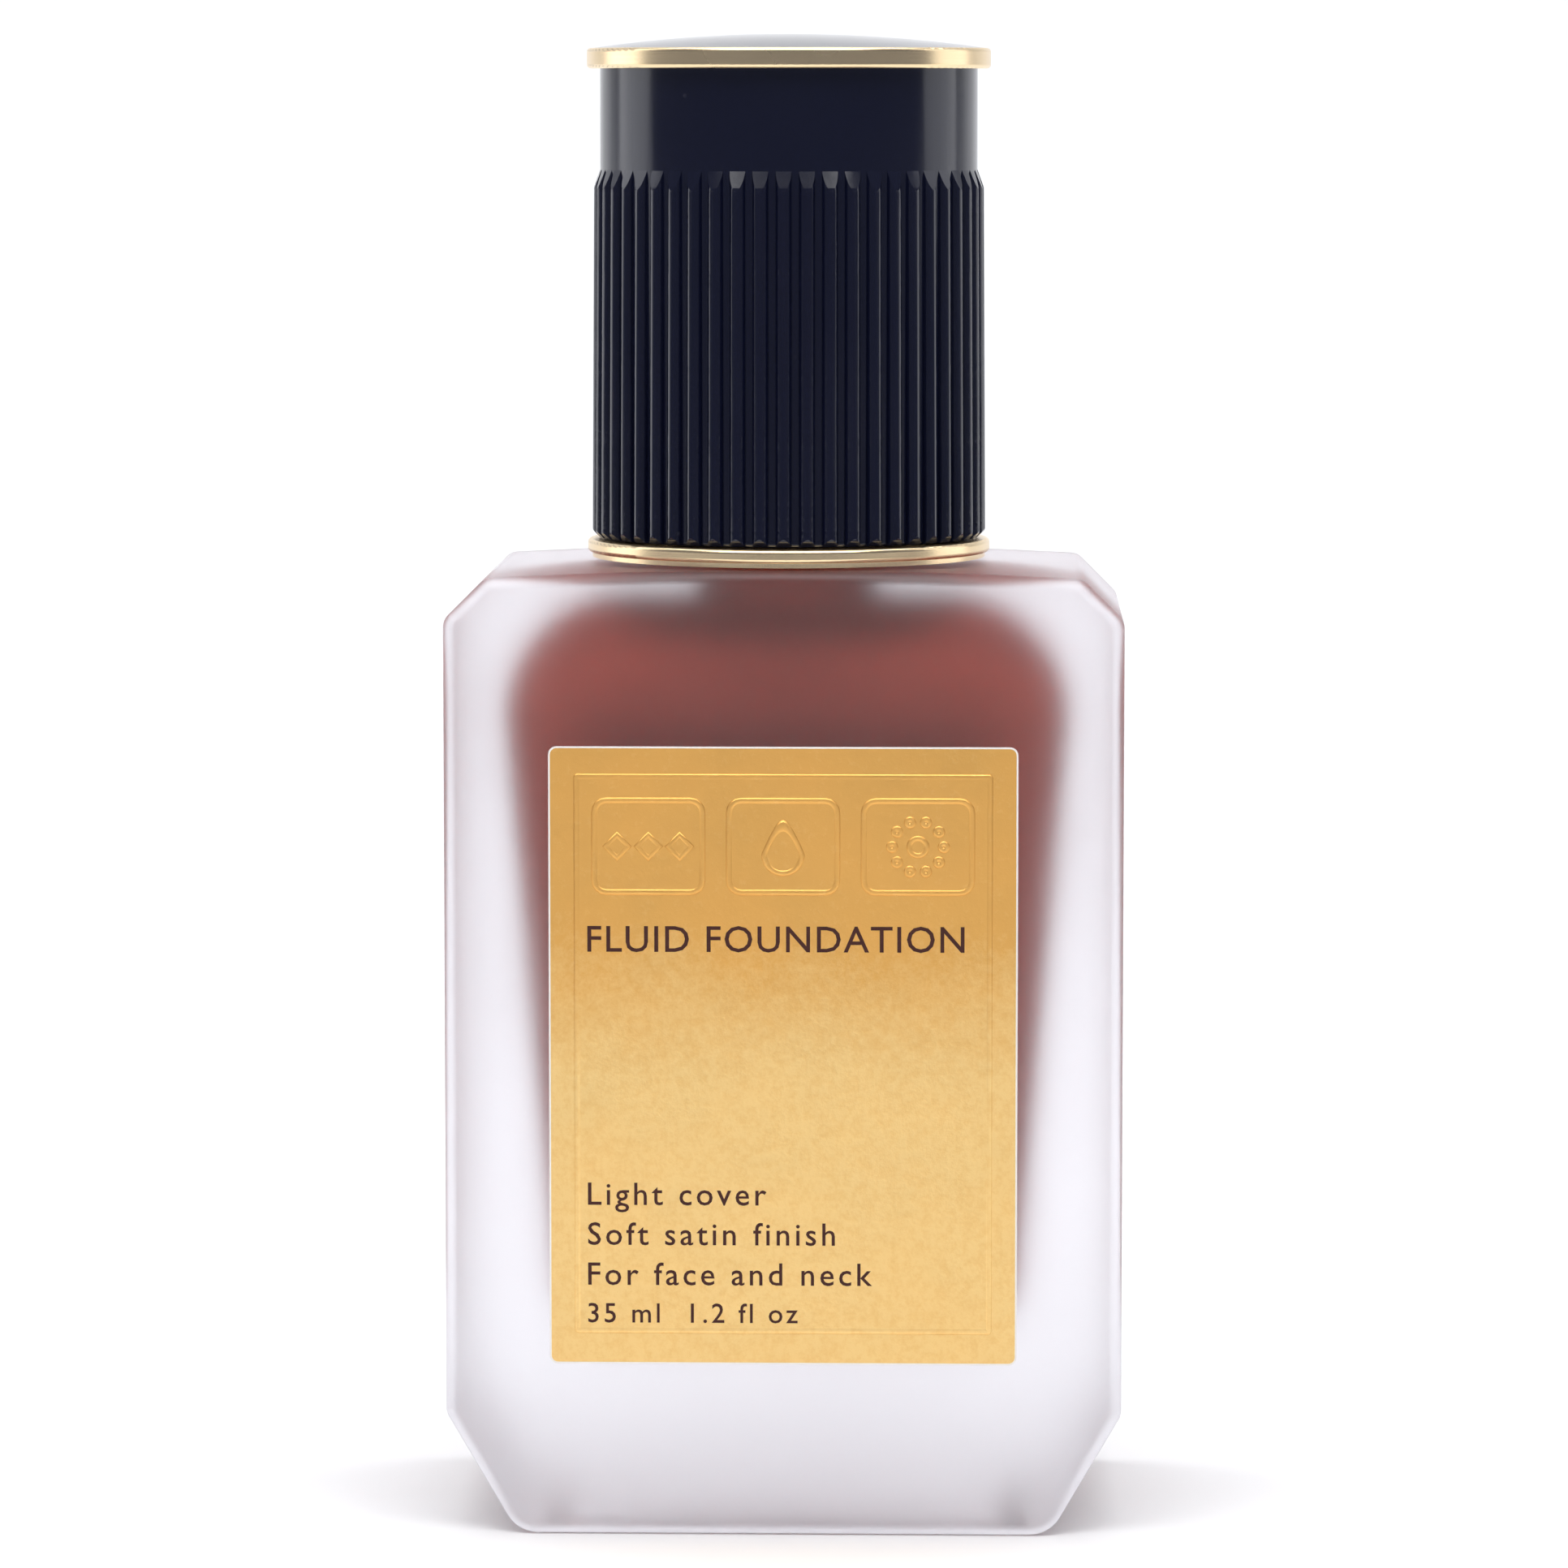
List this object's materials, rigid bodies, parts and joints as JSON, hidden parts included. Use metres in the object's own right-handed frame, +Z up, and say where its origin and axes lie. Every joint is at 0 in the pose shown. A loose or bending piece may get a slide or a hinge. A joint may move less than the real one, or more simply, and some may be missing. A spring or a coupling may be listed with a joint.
{
  "type": "pump cosmetic bottle",
  "caption": "Heavy flat-sided glass bottle with cut corners, a label, a screw-on lotion pump and a ribbed cylindrical overcap with metal rings.",
  "frame": {"origin": "centre of the bottle foot, on the plane the bottle stands on", "axes": "+Z up along the neck and pump axis; the labelled face and the spout face -Y; +X along the wide side"},
  "size_m": [0.05, 0.0311, 0.1108],
  "materials": {
    "frosted_glass": "acid-frosted",
    "liquid": "opaque liquid",
    "label": "satin gold foil on paper",
    "clear_plastic": "natural, translucent",
    "white_plastic": "moulded",
    "gasket": "smooth",
    "tube_plastic": "natural, translucent",
    "piston_plastic": "moulded",
    "steel": "polished stainless",
    "black_plastic": "moulded",
    "gold": "anodised pale gold, polished",
    "black_gloss": "high gloss",
    "liner_plastic": "moulded",
    "disc_gloss": "high gloss"
  },
  "bodies": {
    "bottle": {"glass_bottle": "frosted_glass", "foundation_liquid": "liquid", "front_label": "label"},
    "pump": {"pump_housing": "clear_plastic", "pump_lock_ring": "white_plastic", "neck_gasket": "gasket", "dip_tube": "tube_plastic", "return_spring": "steel"},
    "plunger": {"pump_stem": "white_plastic", "stem_post": "white_plastic"},
    "piston": {"pump_piston": "piston_plastic"},
    "ball": {"inlet_ball": "steel"},
    "closure": {"screw_closure": "black_plastic", "collar_shell": "gold", "shoulder_ring": "gold"},
    "actuator": {"actuator_core": "black_plastic", "actuator_sleeve": "gold", "spout_tip": "black_plastic"},
    "overcap": {"overcap_shell": "black_gloss", "overcap_liner": "liner_plastic", "overcap_rim": "gold", "overcap_disc": "disc_gloss"}
  },
  "joints": [
    {"name": "pump_lift", "type": "slide", "parent": "bottle", "child": "pump", "axis": [0, 0, 1], "range_m": [0, 0.00477]},
    {"name": "closure_unscrew", "type": "hinge", "parent": "pump", "child": "closure", "pos_m": [0, 0, 0.083], "axis": [0, 0, 1], "range_deg": [0, 540]},
    {"name": "overcap_lift", "type": "slide", "parent": "closure", "child": "overcap", "axis": [0, 0, 1], "range_m": [0, 0.038]},
    {"name": "actuator_press", "type": "slide", "parent": "pump", "child": "plunger", "axis": [0, 0, -1], "range_m": [0, 0.0042], "stiffness_N_per_m": 1200, "springref_m": -0.004, "deforming": ["return_spring"]},
    {"name": "actuator_turn", "type": "hinge", "parent": "plunger", "child": "actuator", "pos_m": [0, 0, 0.09659], "axis": [0, 0, 1], "continuous": true},
    {"name": "piston_slip", "type": "slide", "parent": "plunger", "child": "piston", "axis": [0, 0, 1], "range_m": [0, 0.0009]},
    {"name": "inlet_ball_lift", "type": "slide", "parent": "pump", "child": "ball", "axis": [0, 0, 1], "range_m": [0, 0.0008]}
  ],
  "couplings": [
    {"joint": "pump_lift", "follows": "closure_unscrew", "m_per_rad": 0.00050532}
  ]
}
